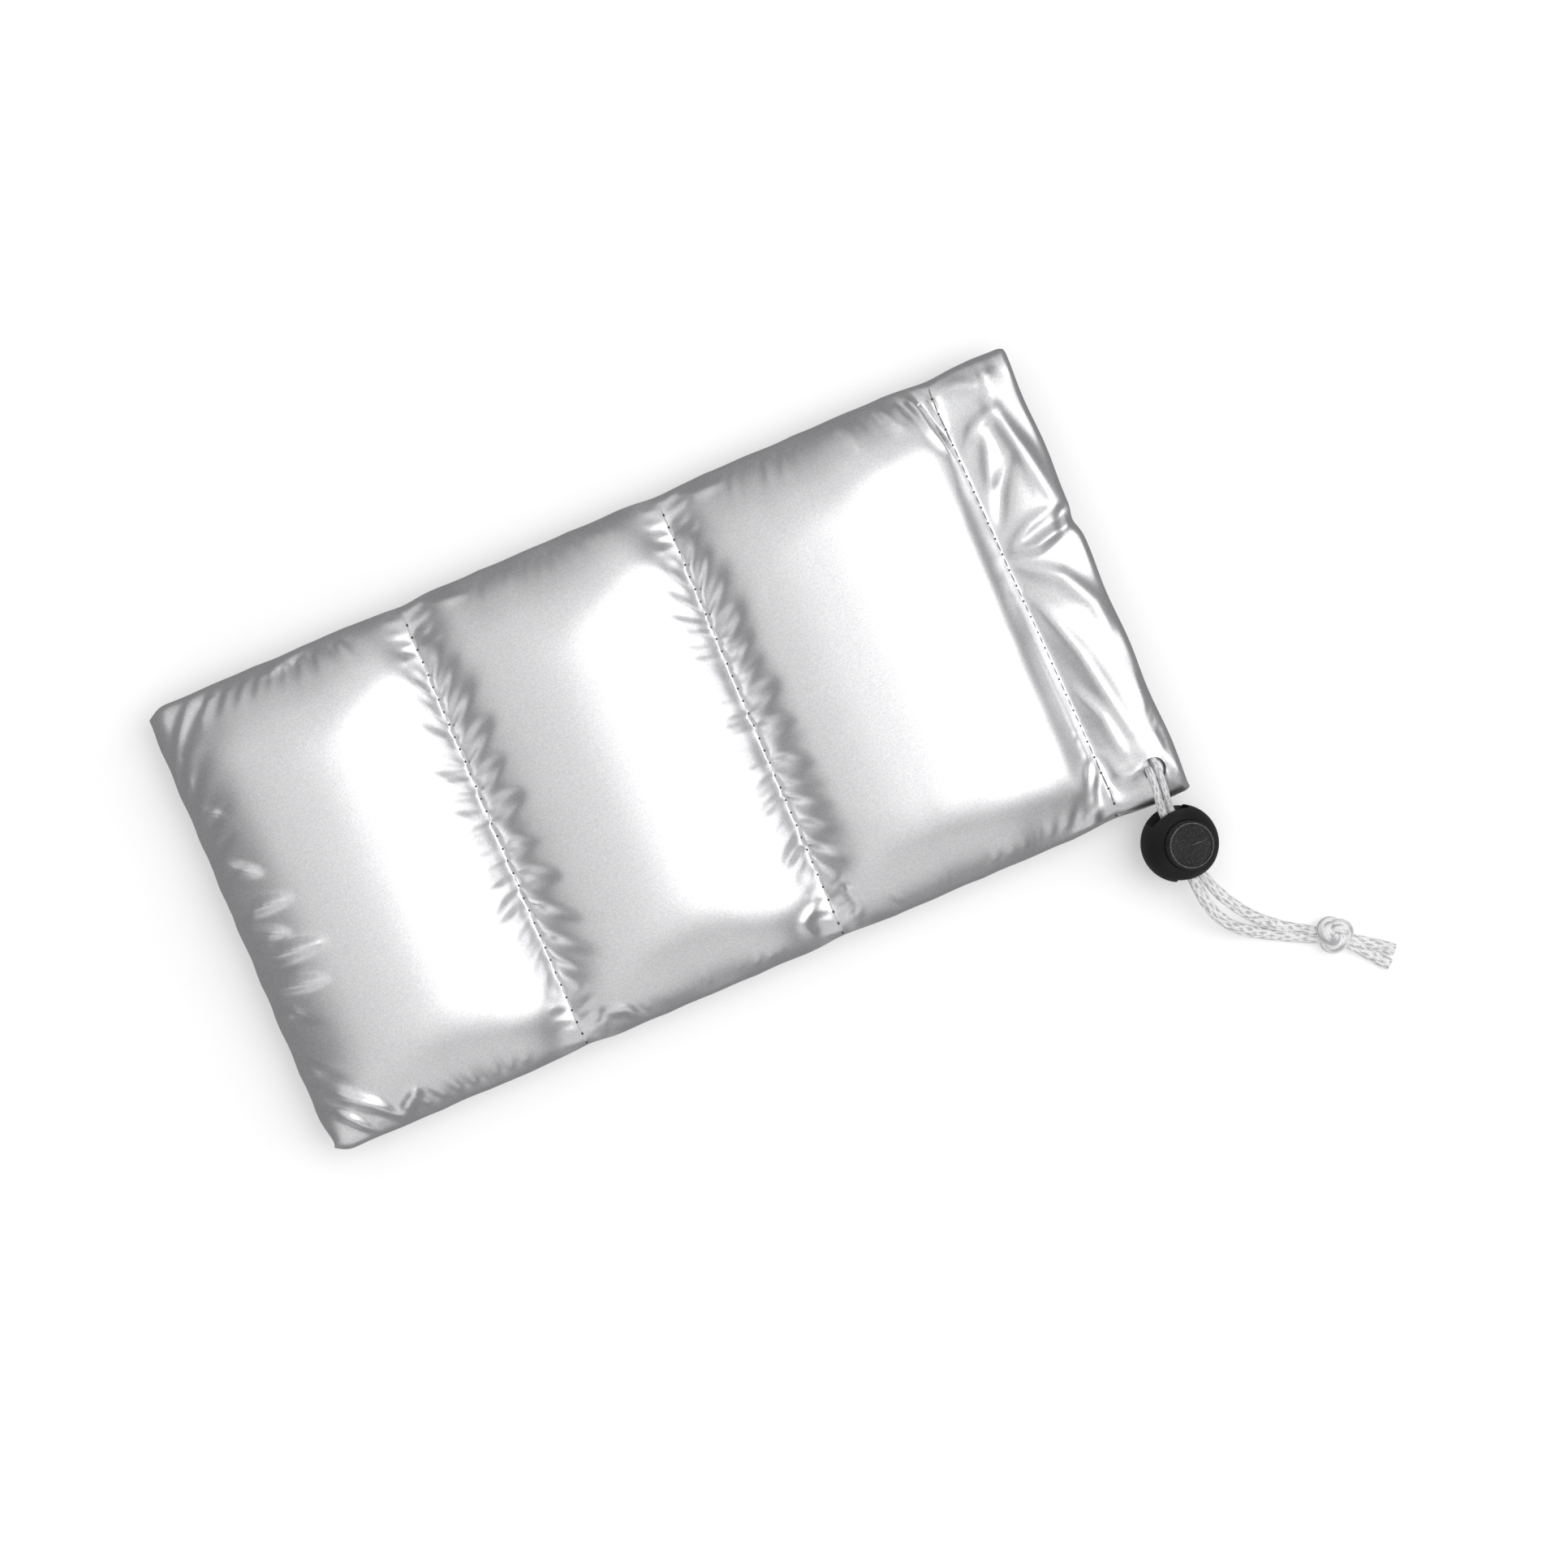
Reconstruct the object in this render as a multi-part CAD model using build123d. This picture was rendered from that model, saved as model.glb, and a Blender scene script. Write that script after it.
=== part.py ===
from build123d import *

import math
import os

# A small quilted drawstring pouch lying flat, with its drawcord and ball cord lock. All sizes are in mm.

os.makedirs("parts", exist_ok=True)

# The pouch. X runs from the closed end to the mouth, Y across, Z up from the floor.
HALF_LENGTH = 90.5
HALF_WIDTH = 47.0
CASING_X = 74.5  # the topstitched start of the cord casing at the mouth
SEAM_X = (-36.5, 17.3)  # the two rows of quilting
FABRIC = 0.3
LINING = 0.25
LINING_END = -86.5
MID_Z = 7.85  # where the front and back panels meet along the sides
GAP = 2.7  # half the height of the space inside
SEAM_RISE = 3.85  # from MID_Z to the outside of a quilted seam
CROWN_Z = 19.5
SLACK = 0.2  # between the wadding and what is round it
SEAM_ROOM = 0.8  # from a row of quilting to the wadding on each side

# The padded shape. Bulges and dips are shares of the height they rise or fall through.
CELL_CROWN = 1.1  # how far a cell's top rises over its middle third
CELL_BULGE = 0.62
SOLE_TURN = 8.0  # how far the underside runs from a seam until it lies on the floor
SOLE_LEAN = 0.36
SOLE_DIP = 0.32
SHOULDER_Y = 38.0
WIDTH_CROWN = 2.6  # how far the top rises across the width between the shoulders
SOLE_Y = 36.0
UPPER_ROLL = (2.2, 4.9)  # a point on the rolled side: inwards from the edge, up from MID_Z
LOWER_ROLL = (2.6, 0.68)  # the same below, down by a share of the height

# The turned-in seam allowances.
ALLOWANCE_DEPTH = 1.5
ALLOWANCE_THICK = 1.2
SIDE_SEAM_RUN = 158.0
SIDE_SEAM_X = -5.5
SIDE_SEAM_Y = 45.4
END_SEAM_RUN = 82.0
END_SEAM_X = -88.0

# The casing at the mouth, a flattened tube whose ends are half circles.
CASING_RISE = 5.3
CASING_BEND_Y = 41.2
HOLE = (84.9, -40.1)
HOLE_RADIUS = 2.3
HEM_TURN = 2.0  # from the start of the casing to the channel for the cord

# Thread.
THREAD_RADIUS = 0.16
QUILT_PITCH = 2.6
CASING_PITCH = 3.3
STITCH_REACH = 43.0  # half the length of a row
STITCH_SHARE = 0.72  # of the pitch, which is thread on the outside
STITCH_LIFT = 0.05  # from the cloth to the middle of the thread
CASING_ROW_INSET = 0.8  # from where the casing starts to its row of stitches

# Drawcord.
CORD = 1.6
KNOT_CENTRE = (105.2, -83.8, 2.6)
KNOT_TURN = -38.0
KNOT_RADII = (3.3, 2.6)

# The ball cord lock. Its own frame has Z along the plunger and Y towards the pouch.
BALL_RADIUS = 7.6
BALL_FLAT = 7.25
BORE_RADIUS = 4.95
BORE_FLOOR = -4.9
WELL_RADIUS = 3.7
WELL_FLOOR = -6.2
PLUNGER_RADIUS = 4.8
PLUNGER_FOOT = -2.2
PLUNGER_TOP = 7.9
SLOT_WIDTH = 8.4
SLOT_HALF = 1.9
PINCH_Z = 0.1  # the bottom of the plunger's own slot, which presses the cords up
SPRING_WIRE = 0.35
SPRING_RADIUS = 2.9
SPRING_ROOF = -1.1
LOCK = Location((84.1, -55.4, BALL_RADIUS)) * Rotation(0, 0, 3.3) * Rotation(8, 0, 0) * Rotation(0, 10, 0)

# Routes of the cord, chosen by hand. Strand A is on the mouth side of strand B.
STRAND_A = [
    (85.3, -36.2, 11.83),
    (85.35, -38.6, 11.83),
    (85.3, -41.4, 14.3),
    (85.1, -44.6, 13.7),
    (84.73, -48.73, 9.37),
    (85.48, -61.79, 7.54),
    (87.0, -66.9, 6.75),
    (89.4, -71.2, 6.0),
    (92.6, -75.2, 3.4),
    (96.4, -78.4, 0.95),
    (100.6, -81.2, 1.2),
    (103.6, -83.0, 2.0),
]
STRAND_B = [
    (83.5, -45.17, 7.9),
    (83.5, -45.17, 9.5),
    (83.6, -42.85, 11.82),
    (83.7, -39.7, 11.83),
    (83.7, -39.8, 15.2),
    (83.5, -43.9, 14.6),
    (83.06, -48.87, 9.67),
    (83.81, -61.93, 7.83),
    (84.1, -67.2, 6.9),
    (85.2, -71.2, 6.1),
    (88.0, -75.2, 3.5),
    (92.4, -78.2, 0.95),
    (97.2, -80.8, 0.82),
    (101.2, -82.9, 1.3),
    (103.4, -83.9, 2.2),
]
LOOP = [
    (85.3, -36.2, 11.83),
    (84.4, 3.0, 11.83),
    (84.9, 45.1, 11.83),
    (84.5, 45.1, 3.87),
    (84.9, 2.0, 3.87),
    (83.9, -42.85, 3.88),
    (83.5, -45.17, 6.2),
    (83.5, -45.17, 7.9),
]
TAIL_A = [(106.8, -85.3, 2.0), (109.6, -87.4, 1.3), (112.4, -89.2, 0.85), (115.0, -91.4, 0.85)]
TAIL_B = [(106.6, -85.6, 2.0), (108.8, -88.4, 1.3), (110.8, -91.0, 0.85), (113.0, -93.7, 0.85)]


def save(name, solid):
    """Write one node."""
    solid.label = name
    export_step(solid, f"parts/{name}.step")
    print(name, round(solid.volume, 1), "mm3")


def length_profile(inset):
    """The pouch from the side, moved in: three padded cells above and below, then level at the casing."""
    edges = []
    closed_end = -HALF_LENGTH + inset
    crown = CROWN_Z - inset
    shoulder_z = crown - CELL_CROWN
    seam_top = MID_Z + SEAM_RISE - inset
    seam_bottom = MID_Z - SEAM_RISE + inset
    starts = (closed_end, *SEAM_X)
    ends = (*SEAM_X, CASING_X)
    lean = SOLE_TURN * SOLE_LEAN
    for start, end in zip(starts, ends):
        left_top = MID_Z if start == closed_end else seam_top
        left_bottom = MID_Z if start == closed_end else seam_bottom
        third = (end - start) / 3
        left_rise = left_top + (shoulder_z - left_top) * CELL_BULGE
        right_rise = seam_top + (shoulder_z - seam_top) * CELL_BULGE
        left_dip = inset + (left_bottom - inset) * SOLE_DIP
        right_dip = inset + (seam_bottom - inset) * SOLE_DIP
        left_sole = start + SOLE_TURN
        right_sole = end - SOLE_TURN
        edges += [
            ThreePointArc((start, left_top), (start + third / 3, left_rise), (start + third, shoulder_z)),
            ThreePointArc((start + third, shoulder_z), ((start + end) / 2, crown), (end - third, shoulder_z)),
            ThreePointArc((end - third, shoulder_z), (end - third / 3, right_rise), (end, seam_top)),
            ThreePointArc((start, left_bottom), (start + lean, left_dip), (left_sole, inset)),
            Line((left_sole, inset), (right_sole, inset)),
            ThreePointArc((right_sole, inset), (end - lean, right_dip), (end, seam_bottom)),
        ]
    mouth = HALF_LENGTH
    neck = [(CASING_X, seam_top), (mouth, seam_top), (mouth, seam_bottom), (CASING_X, seam_bottom)]
    edges.append(Polyline(*neck))
    return make_face(edges)


def width_profile(inset):
    """The pouch from its end, moved in: crowned above, flat on the floor below, rolled at both sides."""
    crown = CROWN_Z - inset
    shoulder_z = crown - WIDTH_CROWN
    side = HALF_WIDTH - inset
    upper_z = MID_Z + UPPER_ROLL[1]
    lower_z = MID_Z - (MID_Z - inset) * LOWER_ROLL[1]
    edges = [
        ThreePointArc((-SHOULDER_Y, shoulder_z), (0, crown), (SHOULDER_Y, shoulder_z)),
        Line((SOLE_Y, inset), (-SOLE_Y, inset)),
    ]
    for way in (-1, 1):
        edge = (way * side, MID_Z)
        upper = (way * (side - UPPER_ROLL[0]), upper_z)
        lower = (way * (side - LOWER_ROLL[0]), lower_z)
        edges += [
            ThreePointArc((way * SHOULDER_Y, shoulder_z), upper, edge),
            ThreePointArc(edge, lower, (way * SOLE_Y, inset)),
        ]
    return make_face(edges)


def envelope(inset):
    """The pouch's outside, moved in by the inset, running on past the casing."""
    along = extrude(Plane.XZ * length_profile(inset), HALF_WIDTH + 5, both=True)
    across = extrude(Plane.YZ * width_profile(inset), HALF_LENGTH + 5, both=True)
    return along & across


def slab(x_low, x_high, z_low, z_high):
    """A box across the whole width."""
    size = (x_high - x_low, 2 * HALF_WIDTH + 20, z_high - z_low)
    return Pos((x_low + x_high) / 2, 0, (z_low + z_high) / 2) * Box(*size)


def flat_tube(x_low, x_high, rise):
    """A run of flattened tube along X, with half-circle sides."""
    outline = Rectangle(2 * CASING_BEND_Y, 2 * rise) + Pos(CASING_BEND_Y, 0) * Circle(rise)
    outline += Pos(-CASING_BEND_Y, 0) * Circle(rise)
    return Pos(x_low, 0, MID_Z) * extrude(Plane.YZ * outline, x_high - x_low)


ABOVE = slab(-100, 100, MID_Z, 40)
BELOW = slab(-100, 100, -20, MID_Z)


def shells():
    """The metallic outer fabric of the body, front and back."""
    skin = (envelope(0) - envelope(FABRIC)) & slab(-100, CASING_X, -20, 40)
    save("front_shell", skin & ABOVE)
    save("back_shell", skin & BELOW)


def fillings():
    """Wadding in the three cells of each panel."""
    inside = envelope(FABRIC + SLACK)
    inner = GAP + LINING + SLACK
    starts = (-HALF_LENGTH + 3, SEAM_X[0] + SEAM_ROOM, SEAM_X[1] + SEAM_ROOM)
    ends = (SEAM_X[0] - SEAM_ROOM, SEAM_X[1] - SEAM_ROOM, CASING_X - SEAM_ROOM)
    for start, end, name in zip(starts, ends, ("closed_end", "middle", "mouth")):
        save(f"front_fill_{name}", inside & slab(start, end, MID_Z + inner, 40))
        save(f"back_fill_{name}", inside & slab(start, end, -20, MID_Z - inner))


def linings():
    """The lining round the space inside, closed at the far end."""
    sleeve = flat_tube(LINING_END, CASING_X, GAP + LINING)
    sleeve -= flat_tube(LINING_END + LINING, HALF_LENGTH, GAP)
    save("front_lining", sleeve & ABOVE)
    save("back_lining", sleeve & BELOW)


def seam_allowances():
    """The turned-in edges where front and back are sewn together."""
    for side, name in ((1, "left"), (-1, "right")):
        strip = Box(SIDE_SEAM_RUN, ALLOWANCE_DEPTH, ALLOWANCE_THICK)
        save(f"side_seam_{name}", Pos(SIDE_SEAM_X, side * SIDE_SEAM_Y, MID_Z) * strip)
    strip = Box(ALLOWANCE_DEPTH, END_SEAM_RUN, ALLOWANCE_THICK)
    save("end_seam", Pos(END_SEAM_X, 0, MID_Z) * strip)


def casings():
    """The hem at the mouth with the cord channel inside it and one hole in its front."""
    hem = flat_tube(CASING_X, HALF_LENGTH, CASING_RISE) - flat_tube(CASING_X - 1, HALF_LENGTH + 1, GAP)
    start = CASING_X + HEM_TURN
    end = HALF_LENGTH - FABRIC
    channel = flat_tube(start, end, CASING_RISE - FABRIC) - flat_tube(start, end, GAP + LINING)
    tube = hem - channel
    hole = Pos(HOLE[0], HOLE[1], MID_Z + CASING_RISE) * Cylinder(HOLE_RADIUS, 2)
    save("casing_front", (tube & ABOVE) - hole)
    save("casing_back", tube & BELOW)


def stitch_row(x, z, pitch):
    """A straight row of stitches across the pouch, each a short length of thread."""
    count = round(2 * STITCH_REACH / pitch)
    step = 2 * STITCH_REACH / count
    stitch = Rotation(90, 0, 0) * Cylinder(THREAD_RADIUS, pitch * STITCH_SHARE)
    row = [Pos(x, (i + 0.5) * step - STITCH_REACH, z) * stitch for i in range(count)]
    return Compound(children=row)


def stitching():
    """Thread lying on the outside of each sewn row."""
    quilt_rise = SEAM_RISE + STITCH_LIFT
    casing_rise = CASING_RISE + STITCH_LIFT
    for i, x in enumerate(SEAM_X, start=1):
        save(f"quilt_stitches_front_{i}", stitch_row(x, MID_Z + quilt_rise, QUILT_PITCH))
        save(f"quilt_stitches_back_{i}", stitch_row(x, MID_Z - quilt_rise, QUILT_PITCH))
    x = CASING_X + CASING_ROW_INSET
    save("casing_stitches_front", stitch_row(x, MID_Z + casing_rise, CASING_PITCH))
    save("casing_stitches_back", stitch_row(x, MID_Z - casing_rise, CASING_PITCH))


def corner_radii(points):
    """A radius for each inner point of a route: as large as 0.45 of the shorter run beside it allows."""
    radii = []
    for before, here, after in zip(points, points[1:], points[2:]):
        back = Vector(*before) - Vector(*here)
        ahead = Vector(*after) - Vector(*here)
        half_turn = (180 - back.get_angle(ahead)) / 2
        radii.append(0.45 * min(back.length, ahead.length) / math.tan(math.radians(half_turn)))
    return radii


def cord(name, points):
    """A round tube along a route of straight runs joined by arcs."""
    radii = corner_radii(points)
    path = FilletPolyline(*points, radius=radii)
    section = Plane(origin=path @ 0, z_dir=path % 0) * Circle(CORD / 2)
    tube = sweep(section, path=path)
    expected = section.area * path.length
    print(name, "length", round(path.length, 1), "radii", [round(r, 1) for r in radii],
          "volume share", round(tube.volume / expected, 3))
    save(name, tube)


def drawcord():
    """The loop in the casing, the two strands through the lock, the knot and the two cut ends."""
    cord("drawcord_loop", LOOP)
    cord("drawcord_strand_a", STRAND_A)
    cord("drawcord_strand_b", STRAND_B)
    cord("drawcord_tail_a", TAIL_A)
    cord("drawcord_tail_b", TAIL_B)
    reach, girth = KNOT_RADII
    outline = EllipticalCenterArc((0, 0), reach, girth, start_angle=0, arc_size=180)
    half = make_face([Line((-reach, 0), (reach, 0)), outline])
    save("drawcord_knot", Pos(*KNOT_CENTRE) * Rotation(0, 0, KNOT_TURN) * revolve(half, Axis.X))


def lock_body():
    """A ball with a bore for the plunger, a well for its spring and a flared slot for the cords."""
    ball = Sphere(BALL_RADIUS) & Box(20, 2 * BALL_FLAT, 20)
    bore_height = BALL_RADIUS - BORE_FLOOR + 1
    bore = Pos(0, 0, BORE_FLOOR + bore_height / 2) * Cylinder(BORE_RADIUS, bore_height)
    well = Pos(0, 0, WELL_FLOOR / 2) * Cylinder(WELL_RADIUS, -WELL_FLOOR)
    side = [(-8, -2.6), (-4.6, -SLOT_HALF), (4.6, -SLOT_HALF), (8, -2.6),
            (8, 4.2), (4.6, SLOT_HALF), (-4.6, SLOT_HALF), (-8, 4.2)]
    slot = extrude(Plane.YZ * Polygon(*side, align=None), SLOT_WIDTH / 2, both=True)
    save("lock_body", LOCK * (ball - bore - well - slot))


def lock_plunger():
    """The push button, with its own slot for the cords and a pocket for the spring."""
    height = PLUNGER_TOP - PLUNGER_FOOT
    post = Pos(0, 0, PLUNGER_FOOT + height / 2) * Cylinder(PLUNGER_RADIUS, height)
    post = fillet(post.edges().group_by(Axis.Z)[-1], 0.5)
    dish = Pos(0, 0, PLUNGER_TOP) * Cylinder(PLUNGER_RADIUS - 0.8, 0.3)
    slot_height = 4.6
    slot = Pos(0, 0, PINCH_Z + slot_height / 2) * Box(6.4, 12, slot_height)
    pocket_height = SPRING_ROOF - PLUNGER_FOOT
    pocket = Pos(0, 0, PLUNGER_FOOT + pocket_height / 2) * Cylinder(SPRING_RADIUS + 0.6, pocket_height)
    save("lock_plunger", LOCK * (post - dish - slot - pocket))


def lock_spring():
    """The coil spring under the plunger."""
    low = WELL_FLOOR + SPRING_WIRE / 2 + 0.02
    height = SPRING_ROOF - SPRING_WIRE / 2 - 0.02 - low
    coil = Helix(pitch=height / 4.5, height=height, radius=SPRING_RADIUS)
    wire = sweep(Plane(origin=coil @ 0, z_dir=coil % 0) * Circle(SPRING_WIRE / 2), path=coil, is_frenet=True)
    save("lock_spring", LOCK * Pos(0, 0, low) * wire)


shells()
fillings()
linings()
seam_allowances()
casings()
stitching()
drawcord()
lock_body()
lock_plunger()
lock_spring()
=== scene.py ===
"""The looks of a small quilted drawstring pouch: simulated fabric, stitching, satin cord and cord lock."""

import math

import bpy
import numpy as np
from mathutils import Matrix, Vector


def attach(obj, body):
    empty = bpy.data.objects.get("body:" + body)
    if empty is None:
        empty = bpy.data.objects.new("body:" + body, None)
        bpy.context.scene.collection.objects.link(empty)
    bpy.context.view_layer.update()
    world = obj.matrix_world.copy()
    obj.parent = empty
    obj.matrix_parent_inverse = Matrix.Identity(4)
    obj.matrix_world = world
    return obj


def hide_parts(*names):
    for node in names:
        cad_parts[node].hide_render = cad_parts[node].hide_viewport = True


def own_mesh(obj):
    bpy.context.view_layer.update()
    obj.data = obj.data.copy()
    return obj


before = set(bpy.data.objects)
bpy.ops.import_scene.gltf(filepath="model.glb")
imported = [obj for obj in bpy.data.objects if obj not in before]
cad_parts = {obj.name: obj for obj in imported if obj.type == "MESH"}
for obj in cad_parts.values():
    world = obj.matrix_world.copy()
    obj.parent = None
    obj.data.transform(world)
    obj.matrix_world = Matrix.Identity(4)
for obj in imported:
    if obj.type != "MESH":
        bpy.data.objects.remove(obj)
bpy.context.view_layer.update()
MM = 0.001

# The pouch, in millimetres as in the CAD.
HALF_LENGTH = 90.5
HALF_WIDTH = 47.0
CASING_X = 74.5
MOUTH_X = 89.3
SEAM_X = (-36.5, 17.3)
MID_Z = 7.85
SEAM_RISE = 3.85
CASING_RISE = 5.2
MOUTH_RISE = 3.4
FRONT_CROWN = 11.5  # the top of a cell over MID_Z, and the bottom under it
BACK_CROWN = 7.8
HOLE = (84.9, -40.1)
HOLE_RADIUS = 2.3
QUILT_PITCH = 2.6
CASING_PITCH = 3.3

# Each cell's hump along X: where it leans, below 1 for the closed end's side, and how boxy it is.
CELL_LEAN = (0.9, 0.85, 0.78)
CELL_ROUND = (2.1, 1.95, 2.5)
CASING_LEAN = 1.0  # how far the casing's row of stitches slants in X, at each side
SIDE_FLAT_Y = 41.4  # a sewn row stays level out to here

# Cloth.
FRONT_STEP = 0.75  # size of a grid cell
BACK_STEP = 1.3
FRONT_STEPS = 420  # rounds of simulation
BACK_STEPS = 220
BEND = 0.10
HEM_BEND = 0.5
PUFF = 0.004
EASED = 0.42  # 0 gathers the cloth evenly along a seam, 1 lets it lie where it would unsewn
DAMPING = 0.88
BACK_FLOOR = 0.02
CORD_X = 84.6  # the line of the cord in the casing
CORD_RISE = 5.0
UNDER_TURN_X = 84.4  # where the strands turn back over the cloth, which stays below them
UNDER_TURN_Z = 13.0
INSIDE_RISE = 3.15  # least rise of the cloth over the space inside
PAD_DEPTH = 0.8  # from the cloth to the wadding
PAD_RISE = 3.1
LINING_RISE = 2.78
ALLOWANCE = (0.45, 1.5)  # where the turned-in seam allowance starts and ends, from the seam
ALLOWANCE_HALF = 0.22
# The hem past the mouth: how far inside it each row is, and its rise.
HEM_ROWS = ((-0.5, 2.8), (-0.9, 2.2), (-1.0, 1.7), (-0.6, 1.5), (0.2, 1.9), (2, 2.7), (9, 2.7), (14, 2.7))
THREAD_STEP = 0.1
THREAD_RADIUS = 0.15

# Drawcord.
YARN_LAY = 3.4  # length of one turn of a yarn
YARNS = 6
BRAID_STEP = 0.16
BRAID_SIDES = 40

STRAND_A = [
    (85.3, -36.2, 11.83),
    (85.35, -38.6, 11.83),
    (85.3, -41.4, 14.3),
    (85.1, -44.6, 13.7),
    (84.73, -48.73, 9.37),
    (85.48, -61.79, 7.54),
    (87.0, -66.9, 6.75),
    (89.4, -71.2, 6.0),
    (92.6, -75.2, 3.4),
    (96.4, -78.4, 0.95),
    (100.6, -81.2, 1.2),
    (103.6, -83.0, 2.0),
]
STRAND_B = [
    (83.5, -45.17, 7.9),
    (83.5, -45.17, 9.5),
    (83.6, -42.85, 11.82),
    (83.7, -39.7, 11.83),
    (83.7, -39.8, 15.2),
    (83.5, -43.9, 14.6),
    (83.06, -48.87, 9.67),
    (83.81, -61.93, 7.83),
    (84.1, -67.2, 6.9),
    (85.2, -71.2, 6.1),
    (88.0, -75.2, 3.5),
    (92.4, -78.2, 0.95),
    (97.2, -80.8, 0.82),
    (101.2, -82.9, 1.3),
    (103.4, -83.9, 2.2),
]
TAIL_A = [(106.8, -85.3, 2.0), (109.6, -87.4, 1.3), (112.4, -89.2, 0.85), (115.0, -91.4, 0.85)]
TAIL_B = [(106.6, -85.6, 2.0), (108.8, -88.4, 1.3), (110.8, -91.0, 0.85), (113.0, -93.7, 0.85)]
LOCK_CENTRE = (84.1, -55.4, 7.6)
LOCK_UP = (0.181, -0.127, 0.975)
CORD_THROUGH_LOCK = (0.14, -0.99, 0.0)
WELL_FLOOR = -6.2  # heights are from the lock's centre, along its own axis
SPRING_ROOF = -1.1
RIM_HEIGHT = 7.84
RIM_RADIUS = 4.3
RIM_THICKNESS = 0.11
LINE_HEIGHT = 7.9
LINE_ENDS = ((0.0, -0.1), (-3.2, 0.5))
SPRING_RADIUS = 2.9
SPRING_WIRE = 0.35
SPRING_TURNS = 4.5
SPRING_STEPS = 28  # in each turn
SPRING_GAP = 0.05
KNOT_CENTRE = (105.2, -83.8, 2.6)
KNOT_TURN = math.radians(-38.0)
KNOT_SIZE = (3.8, 2.9)  # width and thickness of the cord
TAIL_SIZE = (2.3, 1.3)

# Folds and pleats placed on the front: a route of x, y points, a width and a height.
HEM_FOLDS = (
    (((82.5, 39), (86, 25.5), (88.3, 12)), 1.9, 1.01),
    (((75.2, 8.9), (81, 8.2), (89.3, 10.4)), 1.2, 1.08),
    (((75.6, 9.4), (81, 12.5), (87, 14)), 1.2, 0.61),
    (((75.6, 6.5), (83, 1), (87.2, -6), (87.6, -13)), 1.8, 0.81),
    (((76.2, -1), (80.5, -14), (84, -33)), 2.0, 0.94),
    (((75.6, 30.9), (79, 34), (84, 36)), 1.5, 0.74),
    (((76, 14.5), (79, 21), (83, 26)), 1.4, -0.74),
    (((77, 22), (79.5, 29), (80, 33)), 1.3, 0.68),
    (((75.6, 43.2), (79.5, 42.6), (83, 41)), 1.7, 0.81),
    (((76.4, -20), (79.5, -27), (80.5, -36)), 1.3, 0.54),
    (((77, -38.5), (80, -39.5), (83, -38.5)), 1.3, 0.68),
    (((87.5, -33), (88, -38), (88.6, -43)), 1.1, 0.68),
    (((86.3, 9.5), (88, 12.5), (89.6, 13.5)), 1.0, -0.81),
)
MOUTH_TUCKS = (
    (((67.5, 46), (70.4, 42), (71.2, 37), (73.2, 31)), 1.3, 1.0),
    (((71.4, 44.5), (73, 41.5), (73.6, 36)), 0.7, 0.8),
    (((73.3, 6), (73.5, -6), (73.9, -20), (74.3, -42)), 0.8, 0.55),
    (((66.7, -45.5), (70, -45.2), (72.6, -40.5)), 1.3, 0.9),
    (((62, 45.5), (65, 42.5), (66.5, 38.5)), 1.5, 0.8),
    (((54, 45.8), (56, 43), (56.5, 39)), 1.4, 0.6),
    (((68.9, 40), (69.2, 12), (68.6, -12), (68.9, -40)), 3.4, 0.9),
)
END_PLEATS = (
    (((-90, 25), (-86.5, 24), (-83, 22)), 1.0, 0.94),
    (((-90, 14.5), (-86, 12.4), (-81, 9)), 1.2, 1.19),
    (((-90, 5.5), (-85, 3.4), (-77.5, 2.6)), 1.4, 1.36),
    (((-90, 1.5), (-86, -1.2), (-80.5, -3.5)), 1.2, 1.1),
    (((-90, -4), (-84, -6.6), (-74.5, -7.6)), 1.6, 1.61),
    (((-90, -10.5), (-86, -12.6), (-77, -14.5)), 1.3, 1.19),
    (((-90.3, -17), (-87.5, -17.6), (-84.5, -18.3)), 1.0, 0.85),
    (((-90.3, -29.5), (-87.6, -29.8), (-85, -31)), 1.0, 0.85),
    (((-90, -33.5), (-84, -36.2), (-78.5, -40.5), (-74.8, -44.6)), 1.7, 1.53),
    (((-88.5, -38), (-84, -40.8), (-81, -44.6)), 1.4, 1.1),
    (((-75.2, -46.3), (-73, -43.6), (-69.3, -40.8)), 1.4, 1.36),
)
SIDE_TUCKS = (
    (((-65.5, 44), (-62, 44.9), (-57, 45.9)), 1.2, 0.9),
    (((-33.5, 45.8), (-30, 43.8), (-24, 43.2)), 1.3, 0.7),
    (((20.5, 45.6), (24, 43.5), (30, 43.6)), 1.3, 0.7),
    (((-33.5, -45.8), (-30.6, -41.6), (-26.5, -42.6), (-24.5, -45.6)), 1.1, 0.9),
    (((12.5, -45.4), (11.2, -41.2), (14.5, -38.6)), 1.1, 0.8),
    (((20.4, -45.6), (22.2, -41.5), (21, -37)), 1.1, 0.9),
)

# The y of each short pucker at the ends of the rows of quilting.
END_PUCKERS = (44.6, 42.0, 39.3, 36.7, -36.2, -38.9, -41.4, -43.8)
HEM_GAIN = 1.4  # times HEM_FOLDS' heights
PLEAT_GAIN = 1.35  # times END_PLEATS' heights
PLEAT_WIDTH = 0.9  # times END_PLEATS' widths

# The camera, and each light's name, place in the picture (right, up, height), size and power.
TURN = math.radians(-23.2)
VIEW_CENTRE = (18.2, -14.7)
VIEW_WIDTH = 302.0
CAMERA_HEIGHT = 850.0
LIGHTS = (
    ("key", (0.68, 0.20, 0.92), (0.95, 1.25), 5.6),
    ("overhead", (-0.08, 0.12, 1.5), (2.8, 2.8), 13.8),
    ("front_fill", (0.0, -1.0, 0.40), (1.8, 1.0), 2.8),
    ("rear_fill", (-0.3, 1.0, 0.5), (1.6, 0.8), 1.5),
)


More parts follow.
